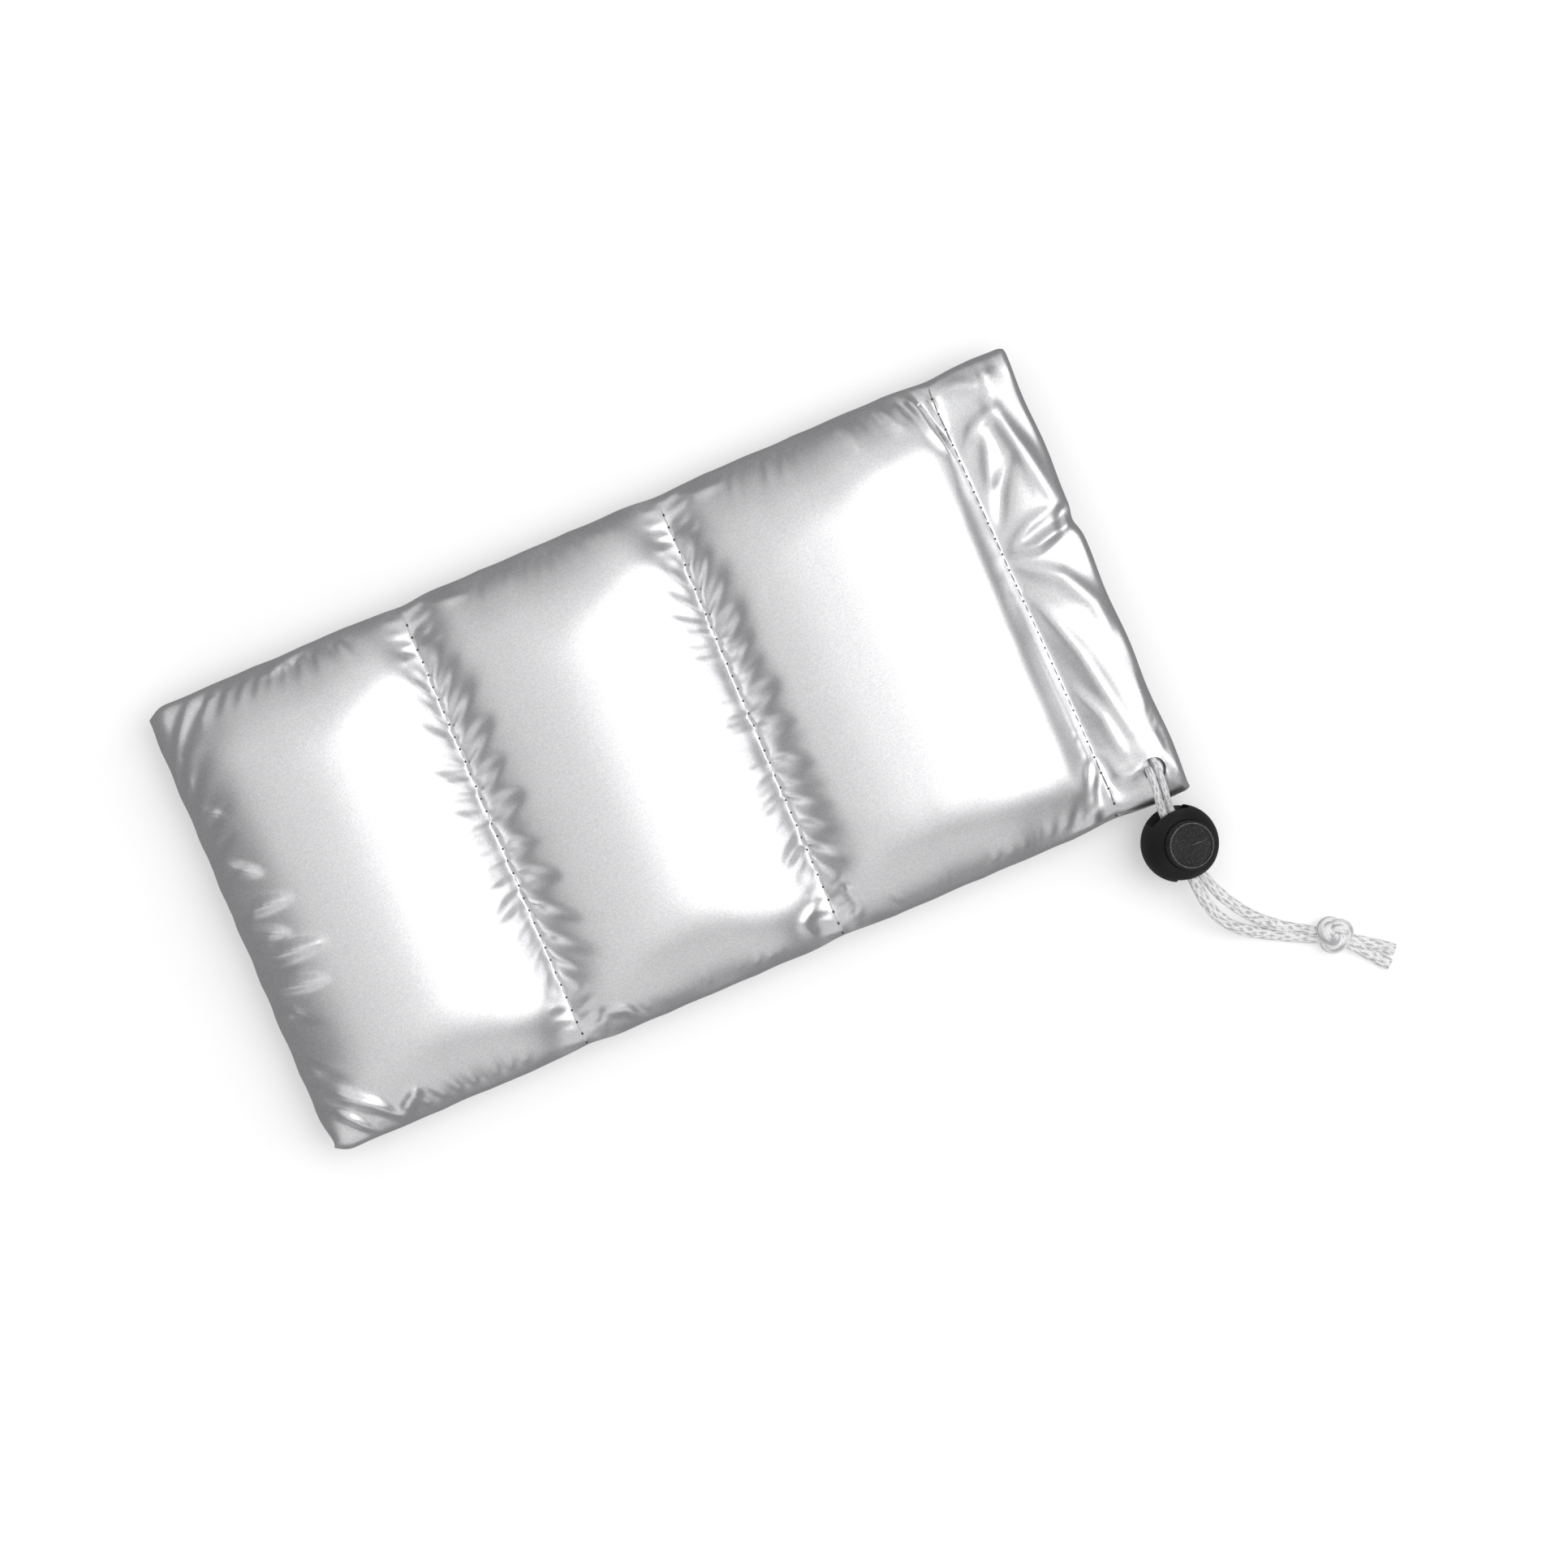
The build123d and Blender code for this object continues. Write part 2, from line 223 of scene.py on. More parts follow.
def camera():
    """Looks straight down, turned as the pouch lies in the picture."""
    data = bpy.data.cameras.new("camera")
    data.sensor_width = 36.0
    data.lens = 36.0 * (CAMERA_HEIGHT - 12) / VIEW_WIDTH
    data.clip_end = 10.0
    obj = new_object("camera", data)
    obj.location = (VIEW_CENTRE[0] * MM, VIEW_CENTRE[1] * MM, CAMERA_HEIGHT * MM)
    obj.rotation_euler = (0, 0, TURN)
    bpy.context.scene.camera = obj


def new_object(name, data):
    """An object in the scene."""
    obj = bpy.data.objects.new(name, data)
    bpy.context.scene.collection.objects.link(obj)
    return obj


def mesh_object(name, points, faces, material=None, smooth=True):
    """A mesh from points in millimetres."""
    mesh = bpy.data.meshes.new(name)
    mesh.from_pydata([tuple(p) for p in np.asarray(points, float) * MM], [], [tuple(f) for f in faces])
    mesh.validate()
    if smooth:
        mesh.shade_smooth()
    obj = new_object(name, mesh)
    if material:
        mesh.materials.append(material)
    return obj


def smooth_route(name, points):
    """Points along a NURBS spline whose control points are the route's, in millimetres."""
    data = bpy.data.curves.new(name, "CURVE")
    data.dimensions = "3D"
    data.resolution_u = 16
    spline = data.splines.new("NURBS")
    spline.points.add(len(points) - 1)
    for control, p in zip(spline.points, points):
        control.co = (p[0] * MM, p[1] * MM, p[2] * MM, 1)
    spline.order_u = 3
    spline.use_endpoint_u = True
    obj = new_object(name, data)
    mesh = bpy.data.meshes.new_from_object(obj)
    line = np.array([v.co for v in mesh.vertices]) / MM
    bpy.data.objects.remove(obj)
    bpy.data.meshes.remove(mesh)
    return line


def resample(line, step):
    """Even points along a line."""
    lengths = np.r_[0, np.cumsum(np.linalg.norm(np.diff(line, axis=0), axis=1))]
    count = max(4, int(round(lengths[-1] / step)) + 1)
    at = np.linspace(0, lengths[-1], count)
    return np.column_stack([np.interp(at, lengths, line[:, k]) for k in range(3)])


# ---------------------------------------------------------------- materials


def node_material(name):
    """A new material, its node tree and its shader."""
    material = bpy.data.materials.new(name)
    material.use_nodes = True
    return material, material.node_tree, material.node_tree.nodes["Principled BSDF"]


def coordinates(tree, scale=(1, 1, 1)):
    """Object coordinates, scaled."""
    where = tree.nodes.new("ShaderNodeTexCoord")
    mapping = tree.nodes.new("ShaderNodeMapping")
    mapping.inputs["Scale"].default_value = scale
    tree.links.new(where.outputs["Object"], mapping.inputs["Vector"])
    return mapping.outputs["Vector"]


def noise(tree, vector, scale, detail=3.0):
    """Soft random grey."""
    texture = tree.nodes.new("ShaderNodeTexNoise")
    texture.inputs["Scale"].default_value = scale
    texture.inputs["Detail"].default_value = detail
    tree.links.new(vector, texture.inputs["Vector"])
    return texture.outputs["Fac"]


def wave(tree, vector, scale, direction):
    """Slightly uneven stripes."""
    texture = tree.nodes.new("ShaderNodeTexWave")
    texture.bands_direction = direction
    texture.inputs["Scale"].default_value = scale
    texture.inputs["Distortion"].default_value = 0.6
    texture.inputs["Detail"].default_value = 1.0
    tree.links.new(vector, texture.inputs["Vector"])
    return texture.outputs["Fac"]


def ramp(tree, value, low, high, start=0.3, end=0.7):
    """Maps a value to a grey between low and high."""
    node = tree.nodes.new("ShaderNodeMapRange")
    node.inputs["From Min"].default_value = start
    node.inputs["From Max"].default_value = end
    node.inputs["To Min"].default_value = low
    node.inputs["To Max"].default_value = high
    tree.links.new(value, node.inputs["Value"])
    return node.outputs["Result"]


def combine(tree, operation, a, b):
    """A sum or product of two values, each a socket or a number."""
    node = tree.nodes.new("ShaderNodeMath")
    node.operation = operation
    for socket, value in zip(node.inputs, (a, b)):
        if isinstance(value, (int, float)):
            socket.default_value = value
        else:
            tree.links.new(value, socket)
    return node.outputs["Value"]


def bump(tree, shader, height, strength, distance):
    """Raises the surface by a value, over a distance in metres."""
    node = tree.nodes.new("ShaderNodeBump")
    node.inputs["Strength"].default_value = strength
    node.inputs["Distance"].default_value = distance
    tree.links.new(height, node.inputs["Height"])
    tree.links.new(node.outputs["Normal"], shader.inputs["Normal"])


def tint(tree, shader, value, dark, light):
    """Colours the base between two colours."""
    node = tree.nodes.new("ShaderNodeMix")
    node.data_type = "RGBA"
    node.inputs[6].default_value = (*dark, 1)
    node.inputs[7].default_value = (*light, 1)
    tree.links.new(value, node.inputs[0])
    tree.links.new(node.outputs[2], shader.inputs["Base Color"])


def metallic_fabric():
    """Silver coating over a fine plain weave, with a soft satin spread and a slight grain."""
    material, tree, shader = node_material("metallic_fabric")
    vector = coordinates(tree)
    weave = combine(tree, "MULTIPLY", wave(tree, vector, 800, "X"),
                    wave(tree, vector, 800, "Y"))
    grain = noise(tree, vector, 2600, 2)
    cloud = noise(tree, vector, 90, 4)
    height = combine(tree, "ADD", weave, combine(tree, "MULTIPLY", grain, 0.8))
    tint(tree, shader, ramp(tree, grain, 0, 1), (0.72, 0.72, 0.73), (0.86, 0.86, 0.865))
    tree.links.new(ramp(tree, cloud, 0.34, 0.42), shader.inputs["Roughness"])
    shader.inputs["Metallic"].default_value = 1.0
    bump(tree, shader, height, 0.12, 0.00006)
    return material


def cloth(name, dark, light, scale=900, roughness=0.75, sheen=0.25):
    """A plain woven cloth."""
    material, tree, shader = node_material(name)
    vector = coordinates(tree)
    weave = combine(tree, "MULTIPLY", wave(tree, vector, scale, "X"),
                    wave(tree, vector, scale, "Y"))
    fuzz = noise(tree, vector, scale * 2, 3)
    tint(tree, shader, ramp(tree, combine(tree, "ADD", weave, fuzz), 0, 1, 0.3, 1.2),
         dark, light)
    tree.links.new(ramp(tree, fuzz, roughness - 0.08, roughness + 0.08), shader.inputs["Roughness"])
    shader.inputs["Sheen Weight"].default_value = sheen
    bump(tree, shader, combine(tree, "ADD", weave, fuzz), 0.3, 0.00008)
    return material


def satin_cord():
    """Shiny white braid: white filaments, with painted shade in the thin grey gaps between the yarns."""
    material, tree, shader = node_material("satin_cord")
    vector = coordinates(tree)
    filament = noise(tree, vector, 2200, 4)
    yarn_gap_shade = tree.nodes.new("ShaderNodeAttribute")
    yarn_gap_shade.attribute_name = "yarn_gap_shade"
    # The attribute is 1 on the tops where the yarns cross over and 0 in the gaps between them, and the gaps
    # are painted grey: painted shade.
    top = ramp(tree, yarn_gap_shade.outputs["Fac"], 0, 1, 0.35, 0.75)
    both = combine(tree, "MULTIPLY", ramp(tree, filament, 0.6, 1), top)
    tint(tree, shader, both, (0.5, 0.5, 0.51), (0.98, 0.98, 0.98))
    tree.links.new(ramp(tree, filament, 0.22, 0.42), shader.inputs["Roughness"])
    bump(tree, shader, filament, 0.25, 0.00005)
    return material


def black_plastic(name, value, speckle, roughness):
    """Moulded black plastic; speckle is the strength of a sparked surface."""
    material, tree, shader = node_material(name)
    vector = coordinates(tree)
    fine = noise(tree, vector, 3000, 1)
    broad = noise(tree, vector, 300, 3)
    tone = ramp(tree, fine, 0, 1, 0.5, 0.8)
    light = value * (1 + 3.5 * speckle)
    tint(tree, shader, tone, (value, value, value * 1.05), (light, light, light * 1.03))
    tree.links.new(ramp(tree, broad, roughness - 0.05, roughness + 0.07), shader.inputs["Roughness"])
    shader.inputs["Specular IOR Level"].default_value = 0.3
    bump(tree, shader, fine, 0.15 + 0.3 * speckle, 0.00008)
    return material


def steel():
    """Drawn spring wire."""
    material, tree, shader = node_material("spring_steel")
    vector = coordinates(tree, (1, 1, 8))
    scratch = noise(tree, vector, 1500, 2)
    tint(tree, shader, scratch, (0.5, 0.5, 0.51), (0.66, 0.66, 0.67))
    tree.links.new(ramp(tree, scratch, 0.2, 0.32), shader.inputs["Roughness"])
    shader.inputs["Metallic"].default_value = 1.0
    return material


def painted_hole_shade():
    """Painted shade: the dark of a needle hole."""
    material, tree, shader = node_material("needle_hole_shade")
    vector = coordinates(tree)
    fine = noise(tree, vector, 3000, 2)
    tint(tree, shader, fine, (0.03, 0.03, 0.03), (0.09, 0.09, 0.09))
    shader.inputs["Roughness"].default_value = 0.9
    return material


# ---------------------------------------------------------------- cloth panels


def crown_share(y, x=0.0):
    """How far a padded cell's cross-section has risen at y, from 0 at the sides to 1."""
    fuller = 2.0 * np.exp(-((x + HALF_LENGTH) / 9) ** 2)
    return np.clip(1 - np.abs(y / HALF_WIDTH) ** (2.5 + fuller), 0, 1) ** 0.62


def flat_share(y):
    """The same for a sewn row or the hem, which stay level nearly to the sides."""
    past = np.clip((np.abs(y) - SIDE_FLAT_Y) / (HALF_WIDTH - SIDE_FLAT_Y), 0, 1)
    return np.sqrt(1 - past ** 2)


def cell_rise(x, stops, crown):
    """Rise of the centre line over the seams: one hump for each cell, each leaning a little its own way."""
    rise = np.zeros_like(x)
    for start, end, lean, round_off in zip(stops, stops[1:], CELL_LEAN, CELL_ROUND):
        left = 0.0 if start == stops[0] else SEAM_RISE
        inside = (x >= start) & (x <= end)
        s = np.clip((x - start) / (end - start), 0, 1)
        base = left + (SEAM_RISE - left) * s
        hump = np.clip(1 - np.abs(2 * s ** lean - 1) ** round_off, 0, 1) ** 0.88
        rise = np.where(inside, base + (crown - base) * hump, rise)
    return rise


def hem_rise(x):
    """Rise of the centre line over the casing."""
    share = np.clip((x - CASING_X) / (MOUTH_X - CASING_X), 0, 1)
    arch = np.sin(math.pi * np.clip(share * 1.02, 0, 1)) ** 0.5
    return SEAM_RISE + (CASING_RISE - SEAM_RISE) * arch


def side_y(x):
    """Where the side seam runs: slightly waisted at each sewn row, wavering a little."""
    waist = sum(np.exp(-((x - s) / 4.0) ** 2) for s in (*SEAM_X, CASING_X))
    waver = 0.22 * np.sin(x / 5.3 + 0.6) + 0.15 * np.sin(x / 2.1)
    corner = 1.6 * np.exp(-((x + HALF_LENGTH) / 2.2) ** 2)
    return HALF_WIDTH - 0.35 - 0.55 * waist - 0.5 * np.abs(waver) - corner


def side_z(x):
    """The side seam's height."""
    return MID_Z + 0.35 * np.sin(x / 7.0) + 0.25 * np.sin(x / 2.7 + 1)


def end_x(y):
    """Where the closed end's edge runs, with its lower corner rounded off."""
    lower = np.clip((-y - 36) / 11, 0, 1) ** 2 * 1.6
    return -HALF_LENGTH + 0.35 + lower + 0.22 * np.sin(y / 3.1) ** 2


def project(points, weights, first, second, rest, stiffness):
    """Moves the two ends of each link towards its rest length."""
    span = points[second] - points[first]
    length = np.sqrt((span * span).sum(-1)) + 1e-9
    wa, wb = weights[first], weights[second]
    share = stiffness * (length - rest) / (length * (wa + wb + 1e-6))
    step = span * share[..., None]
    points[first] += step * wa[..., None]
    points[second] -= step * wb[..., None]


def link_sets(dx, dy, stiff):
    """Every family of links, each as slices that share no point. dx, dy and stiff are grids."""
    nx, ny = dx.shape
    sets = []
    whole = slice(None)
    for s in (0, 1):
        a, b = slice(s, nx - 1, 2), slice(s + 1, nx, 2)
        sets.append(((a, whole), (b, whole), dx[a], 1.0))
        a, b = slice(s, ny - 1, 2), slice(s + 1, ny, 2)
        sets.append(((whole, a), (whole, b), dy[:, a], 1.0))
    diagonal = np.hypot(dx, dy)
    for s in (0, 1):
        a, b = slice(s, nx - 1, 2), slice(s + 1, nx, 2)
        sets.append(((a, slice(0, ny - 1)), (b, slice(1, ny)), diagonal[a, : ny - 1], 0.25))
        sets.append(((a, slice(1, ny)), (b, slice(0, ny - 1)), diagonal[a, : ny - 1], 0.25))
    for reach, share in ((2, 1.0), (4, 0.5)):
        bend = stiff * share
        for s in range(2 * reach):
            if reach == 2:
                a, b = slice(s, nx - reach, 2 * reach), slice(s + reach, nx, 2 * reach)
                sets.append(((a, whole), (b, whole), reach * dx[a], bend[a]))
            a, b = slice(s, ny - reach, 2 * reach), slice(s + reach, ny, 2 * reach)
            sets.append(((whole, a), (whole, b), reach * dy[:, a], bend[:, a]))
    return sets


def normals(points):
    """Upward normals of a grid."""
    du = np.empty_like(points)
    dv = np.empty_like(points)
    du[1:-1] = points[2:] - points[:-2]
    du[0] = points[1] - points[0]
    du[-1] = points[-1] - points[-2]
    dv[:, 1:-1] = points[:, 2:] - points[:, :-2]
    dv[:, 0] = points[:, 1] - points[:, 0]
    dv[:, -1] = points[:, -1] - points[:, -2]
    n = np.cross(du, dv)
    return n / (np.sqrt((n * n).sum(-1)) + 1e-9)[..., None]


def soft_noise(rng, shape, reach):
    """Smooth random values of about unit size, even over the given reach in grid steps."""
    values = rng.normal(0, 1, shape)
    width = max(1, int(reach))
    kernel = np.hanning(2 * width + 3)[1:-1]
    kernel /= np.sqrt((kernel ** 2).sum())
    for axis in range(values.ndim):
        values = np.apply_along_axis(lambda v: np.convolve(v, kernel, "same"), axis, values)
    return values


def ramp_up(value, low, high):
    """Smooth step from 0 at low to 1 at high."""
    t = np.clip((value - low) / (high - low), 0, 1)
    return t * t * (3 - 2 * t)


def fold(points, route, width, height):
    """Raises a tapering fold in the front along a route of x, y positions. A negative height sinks one."""
    route = resample(np.array([(x, y, 0) for x, y in route], float), 0.5)[:, :2]
    gap = np.full(points.shape[:2], 1e6)
    taper = np.zeros(points.shape[:2])
    for k, (x, y) in enumerate(route):
        here = np.hypot(points[..., 0] - x, points[..., 1] - y)
        taper = np.where(here < gap, math.sin(math.pi * (k + 1) / (len(route) + 1)) ** 0.7, taper)
        gap = np.minimum(gap, here)
    reach = width * (0.45 + 0.55 * taper)
    points[..., 2] += height * taper * np.exp(-(gap / reach) ** 2)


def hand_folds(front):
    """The folds of the hem, the pleats at the closed end, and the puckers at the ends of the quilting."""
    for route, width, height in HEM_FOLDS:
        fold(front, route, width, HEM_GAIN * height)
    for route, width, height in (*MOUTH_TUCKS, *SIDE_TUCKS):
        fold(front, route, width, height)
    for route, width, height in END_PLEATS:
        fold(front, route, PLEAT_WIDTH * width, PLEAT_GAIN * height)
    for seam in SEAM_X:
        for i, y in enumerate(END_PUCKERS):
            reach = 3.2 + 0.8 * (i % 2)
            fold(front, ((seam + 0.8, y), (seam + 0.8 + reach, y + 0.9)), 0.75, 0.42)
            fold(front, ((seam - 0.8, y - 1.3), (seam - reach, y - 0.6)), 0.75, 0.38)


def lengthways(step, crown):
    """Even steps of cloth along the pouch.

    Returns their x where the cloth is puffed up and where it is held at the sides, their rise, the length of
    a step, and which steps are sewn rows.
    """
    stops = (-HALF_LENGTH, *SEAM_X, CASING_X)
    x_fine = np.linspace(-HALF_LENGTH, MOUTH_X, 4000)
    rise_fine = np.where(x_fine > CASING_X, hem_rise(x_fine), cell_rise(x_fine, stops, crown))
    along = np.r_[0, np.cumsum(np.hypot(np.diff(x_fine), np.diff(rise_fine)))]
    marks = [np.interp(s, x_fine, along) for s in (*stops, MOUTH_X)]
    columns = [0]
    x_arc, x_even = [], []
    for low, high, x0, x1 in zip(marks, marks[1:], (*stops, MOUTH_X), (*stops[1:], MOUTH_X)):
        count = int(round((high - low) / step))
        at = np.linspace(low, high, count + 1)[:-1]
        x_arc.append(np.interp(at, along, x_fine))
        x_even.append(np.linspace(x0, x1, count + 1)[:-1])
        columns.append(columns[-1] + count)
    x_arc = np.r_[np.concatenate(x_arc), MOUTH_X]
    x_even = np.r_[np.concatenate(x_even), MOUTH_X]
    rise = np.interp(x_arc, x_fine, rise_fine)[:, None]
    return x_arc, x_even, rise, along[-1] / (len(x_arc) - 1), columns[1:4]


def crossways(step, crown):
    """Even steps of cloth across the pouch: their y where it is puffed up, their share, and its length."""
    y_fine = np.linspace(-HALF_WIDTH, HALF_WIDTH, 2000)
    across = np.r_[0, np.cumsum(np.hypot(np.diff(y_fine), np.diff(crown * crown_share(y_fine))))]
    count = int(round(across[-1] / step)) + 1
    y_arc = np.interp(np.linspace(0, across[-1], count), across, y_fine)
    return y_arc, np.linspace(-1, 1, count), across[-1]


def puffed_grid(way, crown, x_arc, x_even, rise, y_arc, y_even):
    """The panel before it is sewn: smooth humps."""
    full = np.clip((rise - SEAM_RISE) / (crown - SEAM_RISE), 0, 1)
    edge = np.abs(y_even)[None, :] ** 6
    x = x_arc[:, None] * (1 - edge) + x_even[:, None] * edge
    y = (y_arc[None, :] * full + (y_even * HALF_WIDTH)[None, :] * (1 - full)) * (side_y(x) / HALF_WIDTH)
    level = flat_share(y_even * HALF_WIDTH)[None, :]
    shape = crown_share(y_even * HALF_WIDTH, x) * full + level * (1 - full)
    return np.stack([x, y, MID_Z + way * rise * shape], -1)


def sew(points, rng, way, step, sewn, x_even, y_arc, y_even):
    """Puts the sewn rows and the four edges in their places. Returns the points' weights, 0 where sewn."""
    nx, ny = points.shape[:2]
    weights = np.ones((nx, ny))
    wander = np.cumsum(rng.normal(0, 0.05, ny))
    wander -= np.linspace(wander[0], wander[-1], ny)
    share = flat_share(y_even * HALF_WIDTH)
    for c in sewn:
        gather = (1 - EASED) * y_even + EASED * y_arc / HALF_WIDTH
        gather += 0.25 / HALF_WIDTH * soft_noise(rng, ny, 1.5 / step) * (1 - y_even ** 4)
        lean = -CASING_LEAN * y_even if c == sewn[2] else 0
        points[c, :, 0] = x_even[c] + 0.14 * wander + lean
        points[c, :, 1] = gather * side_y(np.full(ny, x_even[c]))
        points[c, :, 2] = MID_Z + way * SEAM_RISE * share
    points[0, :, 1] = y_even * (HALF_WIDTH - 1.9)
    points[0, :, 0] = end_x(points[0, :, 1])
    points[0, :, 2] = MID_Z + 0.3 * np.sin(points[0, :, 1] / 4)
    dent = 0.7 * np.exp(-((points[-1, :, 1] - 10.4) / 2.0) ** 2)
    points[-1, :, 0] = MOUTH_X + 0.18 * np.sin(points[-1, :, 1] / 3.3) - dent
    points[-1, :, 2] = MID_Z + way * MOUTH_RISE * share + 0.15 * np.sin(points[-1, :, 1] / 2.3)
    for j, sign in ((0, -1), (-1, 1)):
        points[:, j, 0] = x_even
        points[:, j, 1] = sign * side_y(x_even)
        points[:, j, 2] = side_z(x_even)
        points[0, j, 0] = end_x(np.array([points[0, j, 1]]))[0]
    weights[sewn] = 0
    weights[0] = weights[-1] = weights[:, 0] = weights[:, -1] = 0
    return weights


def roughness(points, rng, step, y_even):
    """Uneven starting heights, with waves beside each row of quilting at the pitch of its stitches."""
    rough = rng.normal(0, 0.12, points.shape[:2])
    for seam in SEAM_X:
        beside = np.exp(-((points[..., 0] - seam) / 5.5) ** 2)
        drift = 1.2 * soft_noise(rng, len(y_even), 5 / step)[None, :]
        at = y_even[None, :] * HALF_WIDTH * 2 * math.pi
        rough += beside * (0.45 * np.cos(at / QUILT_PITCH) + 0.35 * np.cos(at / (1.7 * QUILT_PITCH) + drift))
    return rough


def rest_lengths(rng, step, x_even, y_even, dx, dy, breadth):
    """The links' rest lengths: shorter into the casing, longer beside the quilting, uneven everywhere."""
    shape = (len(x_even), len(y_even))
    drawn_in = 1 - (1 - 1.99 * HALF_WIDTH / breadth) * ramp_up(x_even, CASING_X - 12, CASING_X)[:, None]
    growing = 1 - 0.016 * y_even[None, :]
    full_at_seam = 1.0
    for seam in SEAM_X:
        past = (x_even - seam)[:, None]
        full_at_seam = full_at_seam + np.where(past > 0, 0.055, -0.02) * np.exp(-(past / 6) ** 2)
    rest_y = dy * drawn_in * growing * full_at_seam * (1 + 0.008 * soft_noise(rng, shape, 4 / step))
    rest_x = dx * (1 + 0.008 * soft_noise(rng, shape, 4 / step))
    return rest_x, rest_y


def panel(way, step, crown, steps, seed):
    """One whole side of the pouch as a sewn sheet that puffs up between its seams.

    The sheet is cut to the length that its fullest cross-section needs, and is gathered where it is sewn.
    way is 1 for the front and -1 for the back. Returns a grid of points and the columns of its sewn rows.
    """
    rng = np.random.default_rng(seed)
    x_arc, x_even, rise, dx, sewn = lengthways(step, crown)
    y_arc, y_even, breadth = crossways(step, crown)
    dy = breadth / (len(y_arc) - 1)
    points = puffed_grid(way, crown, x_arc, x_even, rise, y_arc, y_even)
    weights = sew(points, rng, way, step, sewn, x_even, y_arc, y_even)
    free = weights > 0
    points[..., 2] += np.where(free, way * roughness(points, rng, step, y_even), 0)
    rest_x, rest_y = rest_lengths(rng, step, x_even, y_even, dx, dy, breadth)
    in_hem = (np.arange(len(x_arc)) >= sewn[2])[:, None]
    stiff = np.where(in_hem, HEM_BEND, BEND) * np.ones(free.shape)
    links = link_sets(rest_x, rest_y, stiff)

    pinned = points[~free].copy()
    over_cord = CORD_RISE * np.exp(-((x_even - CORD_X) / 1.8) ** 4)[:, None]
    lowest = np.maximum(np.minimum(INSIDE_RISE, 0.85 * rise), over_cord)
    ceiling = MID_Z + way * (np.maximum(rise * 1.02, 3.9) + 0.9)
    under_turn = (np.abs(points[..., 0] - UNDER_TURN_X) < 2.6) & (points[..., 1] < -37.5) & free
    before = points.copy()
    grow = step / FRONT_STEP
    for count in range(steps):
        calm = 1 - count / steps
        speed = (points - before) * DAMPING
        before = points.copy()
        push = normals(points) * (way * PUFF * grow * (0.3 + 0.7 * calm))
        points += np.where(free[..., None], speed + push, 0)
        for first, second, rest, stiffness in links:
            project(points, weights, first, second, rest, stiffness)
        x, y, z = points[..., 0], np.clip(points[..., 1], -HALF_WIDTH, HALF_WIDTH), points[..., 2]
        z = np.where(free & (way * (z - ceiling) > 0), ceiling, z)
        wadded = (rise * 0.93 - 0.5) * crown_share(y, x)
        inside = MID_Z + way * np.maximum(lowest * flat_share(y * 0.998), wadded)
        z = np.where(free & (way * (z - inside) < 0), inside, z)
        if way > 0:
            z = np.where(under_turn, np.minimum(z, UNDER_TURN_Z), z)
        else:
            z = np.where(free, np.maximum(z, BACK_FLOOR), z)
        points[..., 2] = z
        points[..., 0] = np.where(free, np.clip(x, -HALF_LENGTH - 0.3, MOUTH_X + 0.4), x)
        points[~free] = pinned
    relax(points)
    calm_seam_ends(points, sewn)
    return points, sewn


def relax(points):
    """Evens out the outermost few rows, where the cloth is pressed together."""
    near = np.zeros(points.shape[:2])
    near[:9] = near[:, :7] = near[:, -7:] = 0.5
    near[:18, :18] = near[:18, -18:] = 0.5
    near[0] = near[-1] = near[:, 0] = near[:, -1] = 0
    for _ in range(8):
        even = points.copy()
        even[1:-1, 1:-1] = (points[:-2, 1:-1] + points[2:, 1:-1] + points[1:-1, :-2] + points[1:-1, 2:]) / 4
        points += near[..., None] * (even - points)


def calm_seam_ends(points, sewn):
    """Takes the long slanting puckers out of both ends of each row of quilting. The row itself stays."""
    near = np.zeros(points.shape[:2])
    for column in sewn[:2]:
        past_x = (points[..., 0] - points[column, None, :, 0]) / 8.0
        past_y = np.maximum(0, 43.5 - np.abs(points[..., 1])) / 6.5
        near = np.maximum(near, 0.9 * np.exp(-past_x ** 4 - past_y ** 2))
    near[sewn] = 0
    near[0] = near[-1] = near[:, 0] = near[:, -1] = 0
    for _ in range(45):
        lengthwise = np.roll(points, 1, 0) + np.roll(points, -1, 0)
        middle = (lengthwise + np.roll(points, 1, 1) + np.roll(points, -1, 1)) / 4
        points += (middle - points) * near[..., None]


def grid_faces(nx, ny, flip):
    """Quads of an nx by ny grid whose points run row by row."""
    i, j = np.meshgrid(np.arange(nx - 1), np.arange(ny - 1), indexing="ij")
    a = (i * ny + j).ravel()
    quads = np.stack([a, a + ny, a + ny + 1, a + 1], -1)
    return quads[:, ::-1] if flip else quads


def sheet_object(name, points, way, material, hole=None):
    """A smoothed mesh from a grid, with an optional round hole given as x, y and radius."""
    nx, ny = points.shape[:2]
    flat = points.reshape(-1, 3).copy()
    faces = grid_faces(nx, ny, way < 0)
    if hole:
        x, y, radius = hole
        reach = np.hypot(flat[:, 0] - x, flat[:, 1] - y)
        faces = faces[~(reach[faces] < radius).all(1) & (reach[faces].mean(1) > radius * 0.98)]
        pull = (reach < radius * 1.12) & np.isin(np.arange(len(flat)), faces)
        scale = (radius / np.maximum(reach, 1e-6))[pull, None]
        flat[pull, :2] = (x, y) + (flat[pull, :2] - (x, y)) * scale
    used = np.unique(faces)
    index = np.full(len(flat), -1)
    index[used] = np.arange(len(used))
    obj = mesh_object(name, flat[used], index[faces], material)
    smooth = obj.modifiers.new("smooth", "SUBSURF")
    smooth.levels = smooth.render_levels = 1
    depsgraph = bpy.context.evaluated_depsgraph_get()
    mesh = bpy.data.meshes.new_from_object(obj.evaluated_get(depsgraph))
    obj.modifiers.clear()
    obj.data = mesh
    mesh.shade_smooth()
    return obj


